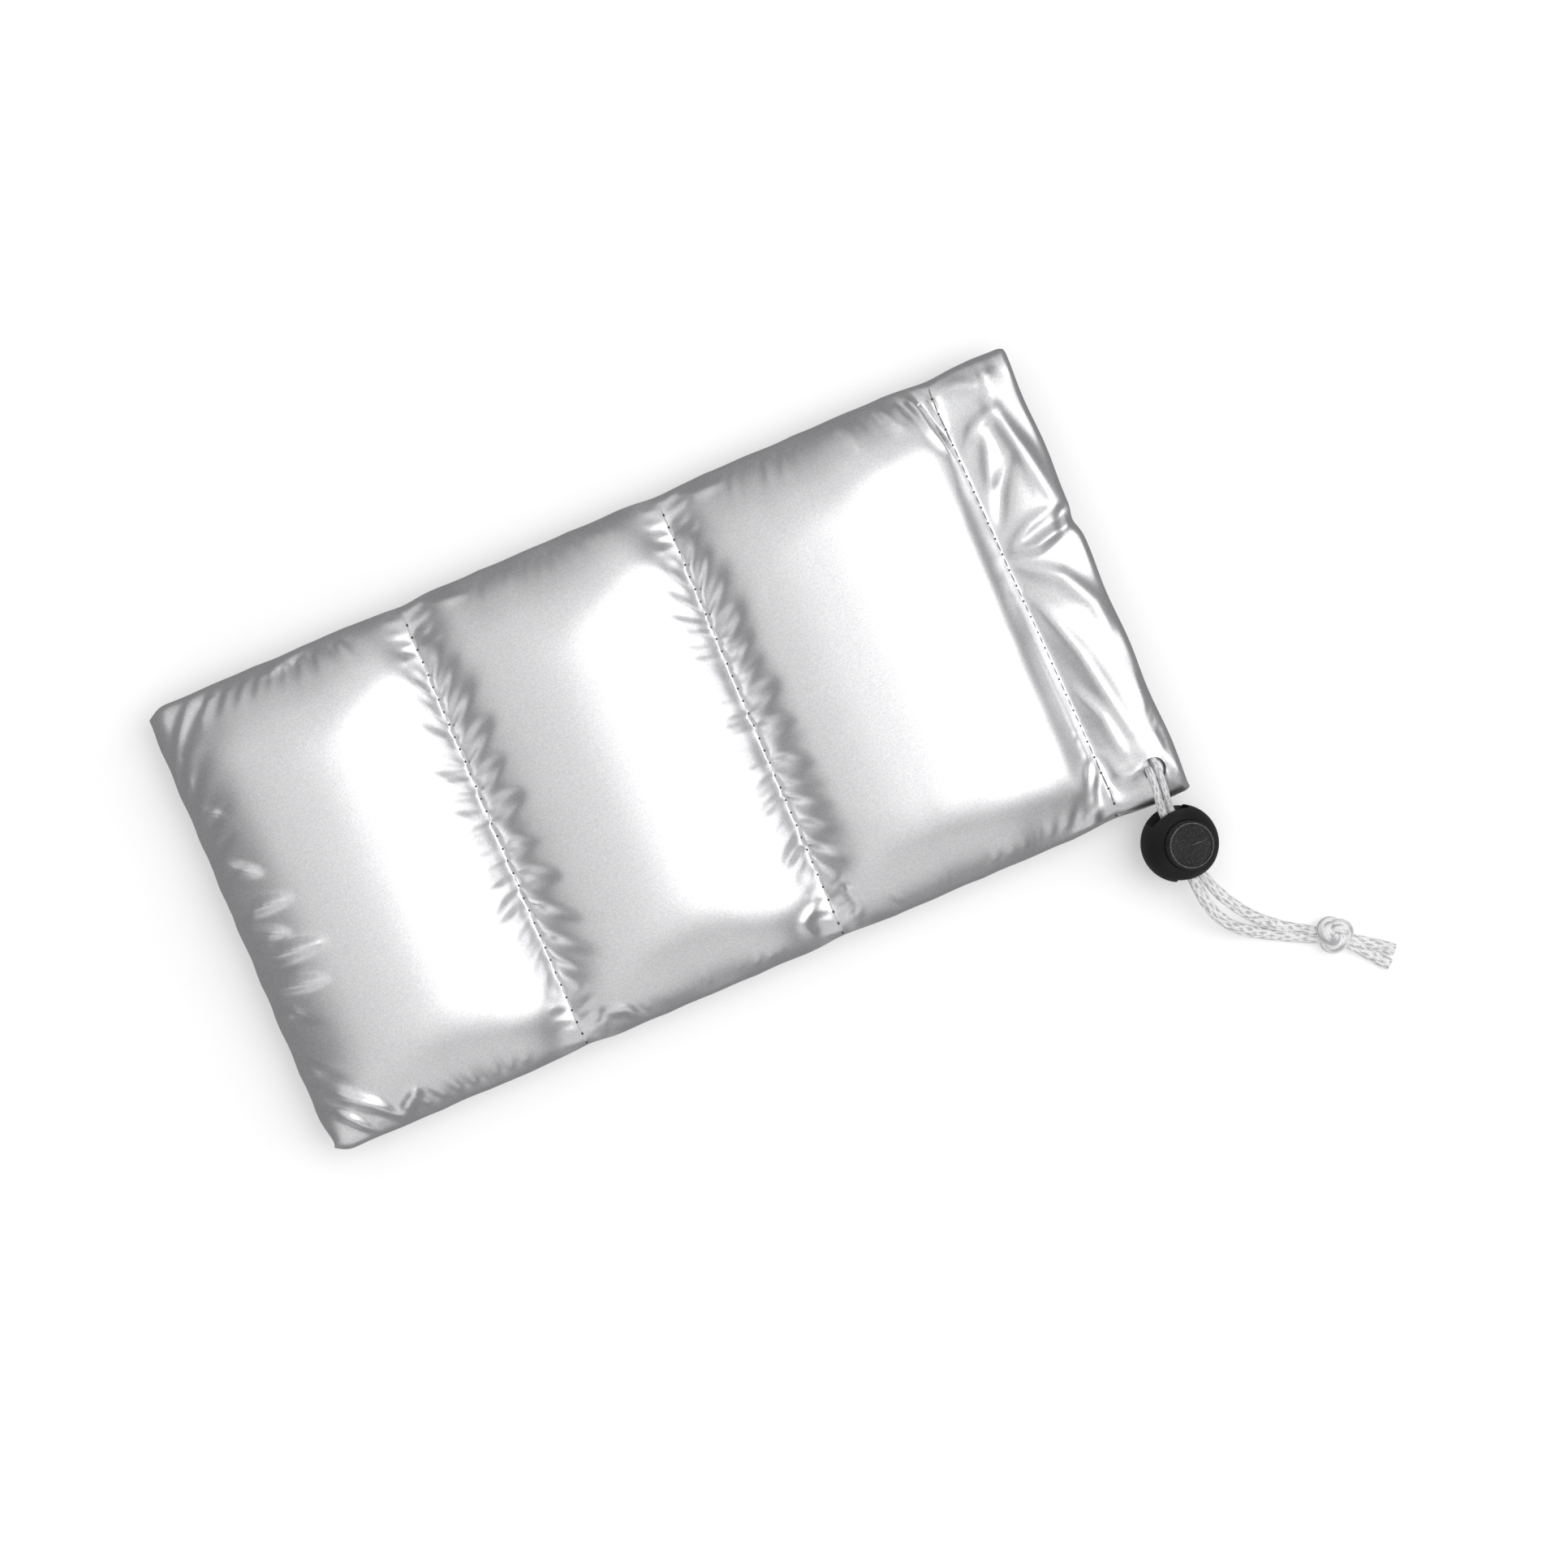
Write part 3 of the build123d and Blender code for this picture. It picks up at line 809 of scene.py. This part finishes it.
def rolled_mouth(points, way):
    """Adds the fold at the mouth and the inner layer of the hem to a panel."""
    edge = points[-1]
    share = np.maximum(flat_share(np.clip(edge[:, 1], -HALF_WIDTH, HALF_WIDTH)), 0.02)
    ripple = edge[:, 2] - (MID_Z + way * MOUTH_RISE * share)
    extra = []
    for inward, rise in HEM_ROWS:
        row = edge.copy()
        fade = min(1, abs(MOUTH_RISE - rise) / 1.5)
        row[:, 0] = edge[:, 0] - inward
        row[:, 1] = edge[:, 1] * (1 - 0.012 * fade)
        row[:, 2] = MID_Z + way * rise * share + ripple * (1 - fade)
        extra.append(row)
    return np.concatenate([points, np.stack(extra)])


def closed_pad(name, points, first, last, way, material):
    """Wadding of one cell: a closed pad just under the cloth, with a level underside."""
    below = points - way * PAD_DEPTH * normals(points)
    grid = below[first + 3:last - 2:3, 4:-4:3]
    nx, ny = grid.shape[:2]
    outer = grid.copy()
    rise = np.maximum(way * (grid[..., 2] - MID_Z), 0.35)
    outer[..., 2] = MID_Z + way * rise
    inner = grid.copy()
    inner[..., 2] = MID_Z + way * np.minimum(PAD_RISE, rise - 0.25)
    verts = np.concatenate([outer.reshape(-1, 3), inner.reshape(-1, 3)])
    faces = [tuple(f) for f in grid_faces(nx, ny, way < 0)]
    faces += [tuple(f + nx * ny) for f in grid_faces(nx, ny, way > 0)]
    rim = [(i, 0) for i in range(nx)] + [(nx - 1, j) for j in range(1, ny)]
    rim += [(i, ny - 1) for i in range(nx - 2, -1, -1)] + [(0, j) for j in range(ny - 2, 0, -1)]
    rim = [i * ny + j for i, j in rim]
    for a, b in zip(rim, rim[1:] + rim[:1]):
        wall = (a, a + nx * ny, b + nx * ny, b)
        faces.append(wall if way > 0 else wall[::-1])
    obj = mesh_object(name, verts, faces, material)
    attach(obj, "pouch")
    return obj


def lining_sheet(name, points, last, way, material):
    """The lining of one panel, level over the space inside and drawn in at the sides."""
    grid = points[4:last + 1:3, 4:-4:3].copy()
    rise = way * (grid[..., 2] - MID_Z)
    ripple = 0.05 * np.sin(grid[..., 0] / 3.1 + np.sin(grid[..., 1] / 6.0))
    grid[..., 2] = MID_Z + way * np.clip(np.minimum(LINING_RISE + ripple, rise - 0.9), 0.05, None)
    nx, ny = grid.shape[:2]
    obj = mesh_object(name, grid.reshape(-1, 3), grid_faces(nx, ny, way > 0), material)
    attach(obj, "pouch")
    return obj


def seam_strip(name, line, side, material):
    """A turned-in seam allowance: a thin frayed ribbon just inside a sewn edge."""
    rng = np.random.default_rng(len(line))
    verts, faces = [], []
    half = np.array([0, 0, ALLOWANCE_HALF])
    for p in line:
        fray = 0.25 * rng.random()
        inner = p - side * (ALLOWANCE[1] + fray)
        outer = p - side * ALLOWANCE[0]
        verts += [outer - half, outer + half, inner + half, inner - half]
    for k in range(len(line) - 1):
        for s in range(4):
            a, b = 4 * k + s, 4 * k + (s + 1) % 4
            faces.append((a, b, b + 4, a + 4))
    faces.append((3, 2, 1, 0))
    end = 4 * (len(line) - 1)
    faces.append((end, end + 1, end + 2, end + 3))
    obj = mesh_object(name, np.array(verts), faces, material)
    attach(obj, "pouch")
    return obj


def tube(verts, faces, centre, radius, sides=8):
    """Adds a closed tube along a line of centres, with a radius at each. Returns the number of its faces."""
    start = len(verts)
    n = len(centre)
    for k, (c, r) in enumerate(zip(centre, radius)):
        ahead = centre[min(k + 1, n - 1)] - centre[max(k - 1, 0)]
        ahead /= np.linalg.norm(ahead) + 1e-9
        across = np.cross(ahead, np.array([0, 0, 1.0]))
        across /= np.linalg.norm(across) + 1e-9
        up = np.cross(across, ahead)
        for s in range(sides):
            a = 2 * math.pi * s / sides
            verts.append(c + r * (math.cos(a) * across + math.sin(a) * up))
    for k in range(n - 1):
        for s in range(sides):
            a = start + k * sides + s
            b = start + k * sides + (s + 1) % sides
            faces.append((a, b, b + sides, a + sides))
    faces.append(tuple(start + s for s in range(sides))[::-1])
    faces.append(tuple(start + (n - 1) * sides + s for s in range(sides)))
    return (n - 1) * sides + 2


def stitch_row(name, points, column, pitch, way, thread, hole):
    """Thread between needle holes along a sewn column of a panel."""
    line = points[column].copy()
    line[:, 2] += way * 0.02
    fine = resample(line, THREAD_STEP)
    verts, faces, slots = [], [], []
    rng = np.random.default_rng(column)
    t = np.linspace(0.09, 0.91, 7)
    bow = np.sin(math.pi * (t - 0.09) / 0.82)
    half_hole = np.array([0, 0.2, 0])
    for i in range(1, int(len(fine) * THREAD_STEP / pitch)):
        low = int((i - 0.5) * pitch / THREAD_STEP)
        high = min(len(fine) - 1, int((i + 0.5) * pitch / THREAD_STEP))
        a, b = fine[low], fine[high]
        skew = rng.normal(0, 0.04)
        centre = a + (b - a) * t[:, None]
        centre[:, 2] += way * (0.13 * bow - 0.03)
        centre[:, 0] += skew * (t - 0.5) * 2
        slots += [0] * tube(verts, faces, centre, THREAD_RADIUS * (0.55 + 0.45 * bow))
        # A short near-black tube over each needle hole, in the second material: painted shade of the hole.
        spot = a + np.array([0, 0, way * 0.09])
        slots += [1] * tube(verts, faces, np.array([spot - half_hole, spot + half_hole]), (0.19, 0.19))
    obj = mesh_object(name, np.array(verts), faces, thread)
    obj.data.materials.append(hole)
    obj.data.polygons.foreach_set("material_index", slots)
    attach(obj, "pouch")
    return obj


# ---------------------------------------------------------------- cord


def braid(name, line, width, thickness, material, ends=(1.0, 1.0)):
    """A limp braided cord: a flattened tube whose surface is crossed by six slanting yarns each way.

    width and thickness are numbers, or functions of the length along the line. ends scales the two cut ends.
    """
    line = resample(line, BRAID_STEP)
    n = len(line)
    sides = BRAID_SIDES
    ahead = np.gradient(line, axis=0)
    ahead /= np.linalg.norm(ahead, axis=1)[:, None]
    up = np.zeros_like(line)
    up[:, 2] = 1
    up[np.abs(ahead[:, 2]) > 0.9] = (0, 1, 0)
    across = np.cross(ahead, up)
    across /= np.linalg.norm(across, axis=1)[:, None]
    for k in range(1, n):
        if np.dot(across[k], across[k - 1]) < 0:
            across[k] *= -1
    up = np.cross(across, ahead)
    at = np.arange(n) * BRAID_STEP
    rng = np.random.default_rng(len(name) + n)
    slip = 0.9 * soft_noise(rng, n, 18)
    kernel = np.hanning(13)
    kernel /= np.sqrt((kernel ** 2).sum())
    streak = np.apply_along_axis(lambda v: np.convolve(v, kernel, "same"), 0, rng.normal(0, 1, (n, sides)))
    verts, yarn_gap_shade = [], []
    for k in range(n):
        taper = 1.0
        if k < 4:
            taper = ends[0] + (1 - ends[0]) * k / 4
        if n - 1 - k < 4:
            taper = min(taper, ends[1] + (1 - ends[1]) * (n - 1 - k) / 4)
        w = (width(at[k]) if callable(width) else width) / 2 * taper
        t = (thickness(at[k]) if callable(thickness) else thickness) / 2 * taper
        for s in range(sides):
            a = 2 * math.pi * s / sides
            right = math.sin(YARNS * a + at[k] * 2 * math.pi / YARN_LAY + slip[k])
            left = math.sin(YARNS * a - at[k] * 2 * math.pi / YARN_LAY + 0.8 * slip[k])
            bulge = min(1, max(-1, 0.75 * max(right, left) + 0.55 * streak[k, s]))
            out = w * math.cos(a) * across[k] + t * math.sin(a) * up[k]
            verts.append(line[k] + (1 + 0.08 * bulge) * out)
            # Painted shade for the cord's colour: 0 in the gaps between the yarns, 1 on their raised tops.
            yarn_gap_shade.append(0.5 + 0.5 * bulge)
    faces = []
    for k in range(n - 1):
        for s in range(sides):
            a, b = k * sides + s, k * sides + (s + 1) % sides
            faces.append((a, b, b + sides, a + sides))
    faces.append(tuple(range(sides))[::-1])
    faces.append(tuple((n - 1) * sides + s for s in range(sides)))
    obj = mesh_object(name, np.array(verts), faces, material)
    obj.data.attributes.new("yarn_gap_shade", "FLOAT", "POINT").data.foreach_set("value", yarn_gap_shade)
    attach(obj, "pouch")
    return obj


def lock_frame():
    """The lock's centre and its own axes: across, along the cord, and up through the plunger."""
    up = np.array(LOCK_UP) / np.linalg.norm(LOCK_UP)
    along = np.array(CORD_THROUGH_LOCK)
    along -= up * along.dot(up)
    along /= np.linalg.norm(along)
    return np.array(LOCK_CENTRE), np.cross(along, up), along, up


def plunger_rim(material):
    """A thin raised ring round the top of the plunger."""
    centre, across, along, up = lock_frame()
    around, section = 96, 10
    verts, faces = [], []
    for k in range(around):
        a = 2 * math.pi * k / around
        out = across * math.cos(a) + along * math.sin(a)
        for s in range(section):
            b = 2 * math.pi * s / section
            high = RIM_HEIGHT + RIM_THICKNESS * math.sin(b)
            verts.append(centre + up * high + out * (RIM_RADIUS + RIM_THICKNESS * math.cos(b)))
            here, ahead = k * section, (k + 1) % around * section
            after = (s + 1) % section
            faces.append((here + s, ahead + s, ahead + after, here + after))
    obj = mesh_object("plunger_rim", np.array(verts), faces, material)
    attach(obj, "lock_button")


def plunger_line(material):
    """A hair-thin moulding line on top of the plunger."""
    centre, across, along, up = lock_frame()
    a, b = (centre + across * x + along * y + up * LINE_HEIGHT for x, y in LINE_ENDS)
    side = np.cross(up, b - a)
    side *= 0.10 / np.linalg.norm(side)
    verts = [a + side, a - side, b - side * 0.6, b + side * 0.6]
    verts += [v - up * 0.12 for v in verts]
    verts = [v + up * 0.03 for v in verts]
    faces = [(0, 1, 2, 3), (7, 6, 5, 4), (0, 4, 5, 1), (1, 5, 6, 2), (2, 6, 7, 3), (3, 7, 4, 0)]
    obj = mesh_object("plunger_line", np.array(verts), faces, material)
    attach(obj, "lock_button")


def coil_spring(material):
    """The spring under the plunger, from the floor of its well up to the plunger."""
    centre, across, along, up = lock_frame()
    angle = np.linspace(0, 2 * math.pi * SPRING_TURNS, round(SPRING_STEPS * SPRING_TURNS))
    low = WELL_FLOOR + SPRING_WIRE / 2 + SPRING_GAP
    height = np.linspace(low, SPRING_ROOF - SPRING_WIRE / 2 - SPRING_GAP, len(angle))
    sections, around = [], 8
    for a, h in zip(angle, height):
        out = across * math.cos(a) + along * math.sin(a)
        for s in range(around):
            b = 2 * math.pi * s / around
            reach = SPRING_RADIUS + SPRING_WIRE / 2 * math.cos(b)
            sections.append(centre + out * reach + up * (h + SPRING_WIRE / 2 * math.sin(b)))
    faces = []
    for k in range(len(angle) - 1):
        for s in range(around):
            after = (s + 1) % around
            here, ahead = k * around, (k + 1) * around
            faces.append((here + s, here + after, ahead + after, ahead + s))
    faces += [tuple(reversed(range(around))), tuple(range(len(sections) - around, len(sections)))]
    obj = mesh_object("spring_coil", np.array(sections), faces, material)
    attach(obj, "cord_lock")
    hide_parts("lock_spring")
    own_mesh(obj)
    return obj


def knot(material):
    """An overhand knot drawn tight."""
    t = np.linspace(0, 2 * math.pi, 160)
    x = (np.sin(t) + 2 * np.sin(2 * t)) * 0.62
    y = (np.cos(t) - 2 * np.cos(2 * t)) * 0.60
    z = -np.sin(3 * t) * 0.7
    c, s = math.cos(KNOT_TURN), math.sin(KNOT_TURN)
    line = np.column_stack([
        KNOT_CENTRE[0] + x * c - y * s,
        KNOT_CENTRE[1] + x * s + y * c,
        KNOT_CENTRE[2] - 0.2 + z])
    obj = braid("knot", line, *KNOT_SIZE, material)
    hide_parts("drawcord_knot")
    return obj


def strand_width(s):
    """Narrow where the strands crowd through the hole, flat and wide once past the lock."""
    return float(np.interp(s, (0, 12, 18, 26, 34), (1.3, 1.3, 1.6, 1.6, 2.2)))


def strand_thickness(s):
    """A little flatter once past the lock."""
    return 1.45 - 0.25 * min(1, max(0, (s - 26) / 10))


def drawcord(material):
    """The two strands from the hole through the lock to the knot, and the cut ends."""
    pieces = {}
    for name, points in (("strand_a", STRAND_A), ("strand_b", STRAND_B)):
        line = smooth_route(name, points)
        pieces[name] = (braid(name, line, strand_width, strand_thickness, material), line)
        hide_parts(f"drawcord_{name}")
    tie = knot(material)
    tails = []
    for name, points in (("tail_a", TAIL_A), ("tail_b", TAIL_B)):
        line = smooth_route(name, points)
        obj = braid(name, line, *TAIL_SIZE, material, ends=(1, 1.05))
        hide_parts(f"drawcord_{name}")
        tails.append(obj)
    locks = [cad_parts["lock_body"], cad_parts["lock_plunger"], coil_spring(steel())]
    for name, exit_point, others in (("strand_a", STRAND_A[0], [tie, *tails, *locks]),
                                     ("strand_b", STRAND_B[0], [])):
        obj, line = pieces[name]


# ---------------------------------------------------------------- stage


def softbox(name, place, target, size, power):
    """A rectangular light, in metres and watts."""
    data = bpy.data.lights.new(name, "AREA")
    data.shape = "RECTANGLE"
    data.size, data.size_y = size
    data.energy = power
    obj = new_object(name, data)
    obj.location = place
    direction = Vector(target) - Vector(place)
    obj.rotation_euler = direction.to_track_quat("-Z", "Y").to_euler()
    return obj


def picture(right, up, height):
    """A point given by the picture's own right and up, in metres."""
    c, s = math.cos(TURN), math.sin(TURN)
    return (VIEW_CENTRE[0] * MM + right * c - up * s, VIEW_CENTRE[1] * MM + right * s + up * c, height)


def stage():
    """The white floor, the even surroundings and the lights."""
    material, tree, shader = node_material("floor")
    vector = coordinates(tree)
    tint(tree, shader, noise(tree, vector, 40, 2), (0.93, 0.93, 0.93), (0.95, 0.95, 0.95))
    shader.inputs["Roughness"].default_value = 0.9
    shader.inputs["Specular IOR Level"].default_value = 0.1
    shader.inputs["Emission Color"].default_value = (1, 1, 1, 1)
    shader.inputs["Emission Strength"].default_value = 0.22
    floor = mesh_object("floor", [(-3000, -3000, 0), (3000, -3000, 0), (3000, 3000, 0), (-3000, 3000, 0)],
                        [(0, 1, 2, 3)], material, smooth=False)
    floor.location.z = -0.0001
    floor.visible_glossy = False
    world = bpy.data.worlds.new("world")
    bpy.context.scene.world = world
    world.use_nodes = True
    background = world.node_tree.nodes["Background"]
    background.inputs["Color"].default_value = (0.26, 0.26, 0.265, 1)
    background.inputs["Strength"].default_value = 1.0
    centre = picture(0, 0, 0.0)
    for name, place, size, power in LIGHTS:
        softbox(name, picture(*place), centre, size, power)
    bpy.context.scene.view_settings.view_transform = "Standard"


# ---------------------------------------------------------------- build


camera()
cord_material = satin_cord()
drawcord(cord_material)
stage()

fabric = metallic_fabric()
thread = cloth("thread", (0.45, 0.45, 0.46), (0.75, 0.75, 0.76), 1600, 0.6, 0.2)
dark_thread = cloth("dark_thread", (0.16, 0.16, 0.17), (0.32, 0.32, 0.33), 1600, 0.6, 0.2)
# Near-black material for the needle holes: painted shade.
needle = painted_hole_shade()

front_steps, back_steps = ((FRONT_STEPS, BACK_STEPS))
front, front_sewn = panel(1, FRONT_STEP, FRONT_CROWN, front_steps, 3)
back, back_sewn = panel(-1, BACK_STEP, BACK_CROWN, back_steps, 5)
hand_folds(front)
panels = ((1, front, front_sewn, "front"), (-1, back, back_sewn, "back"))

front_cloth = sheet_object("front_shell_cloth", rolled_mouth(front, 1), 1, fabric, (*HOLE, HOLE_RADIUS))
back_cloth = sheet_object("back_shell_cloth", rolled_mouth(back, -1), -1, fabric)
for obj, face in ((front_cloth, "front"), (back_cloth, "back")):
    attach(obj, "pouch")
    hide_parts(f"{face}_shell", f"casing_{face}")

for way, points, sewn, face in panels:
    for i, column in enumerate(sewn[:2], start=1):
        row = stitch_row(f"quilt_thread_{face}_{i}", points, column, QUILT_PITCH, way, thread, needle)
        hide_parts(f"quilt_stitches_{face}_{i}")
    row = stitch_row(f"casing_thread_{face}", points, sewn[2], CASING_PITCH, way, dark_thread, needle)
    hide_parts(f"casing_stitches_{face}")

wadding = cloth("wadding", (0.85, 0.85, 0.84), (0.95, 0.95, 0.94), 500, 0.95, 0.3)
lining = cloth("lining_fabric", (0.42, 0.42, 0.44), (0.62, 0.62, 0.64), 1100, 0.7, 0.15)
edge = cloth("seam_edge", (0.6, 0.6, 0.61), (0.75, 0.75, 0.76), 1100, 0.6, 0.2)
for way, points, sewn, face in panels:
    for cell, first, last in zip(("closed_end", "middle", "mouth"), (0, *sewn[:2]), sewn):
        pad = closed_pad(f"{face}_wadding_{cell}", points, first, last, way, wadding)
        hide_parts(f"{face}_fill_{cell}")
    sheet = lining_sheet(f"{face}_lining_cloth", points, sewn[2], way, lining)
    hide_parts(f"{face}_lining")
for j, sign, name in ((0, -1, "right"), (-1, 1, "left")):
    line = front[6:front_sewn[2]:4, j]
    strip = seam_strip(f"side_seam_allowance_{name}", line, np.array([0, sign, 0]), edge)
    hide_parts(f"side_seam_{name}")
strip = seam_strip("end_seam_allowance", front[0, 8:-8:4], np.array([-1, 0, 0]), edge)
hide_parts("end_seam")

ball = black_plastic("lock_plastic", 0.007, 0.0, 0.5)
button = black_plastic("button_plastic", 0.008, 1.6, 0.55)
# A far lighter copy of the black plastic, for the plunger's raised rim and moulding line: painted highlight.
rim_highlight_plastic = black_plastic("rim_and_line_highlight", 0.10, 0.4, 0.4)
plunger_rim(rim_highlight_plastic)
plunger_line(rim_highlight_plastic)
for name, material in (("drawcord_loop", cord_material), ("lock_body", ball), ("lock_plunger", button)):
    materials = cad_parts[name].data.materials
    materials.clear()
    materials.append(material)
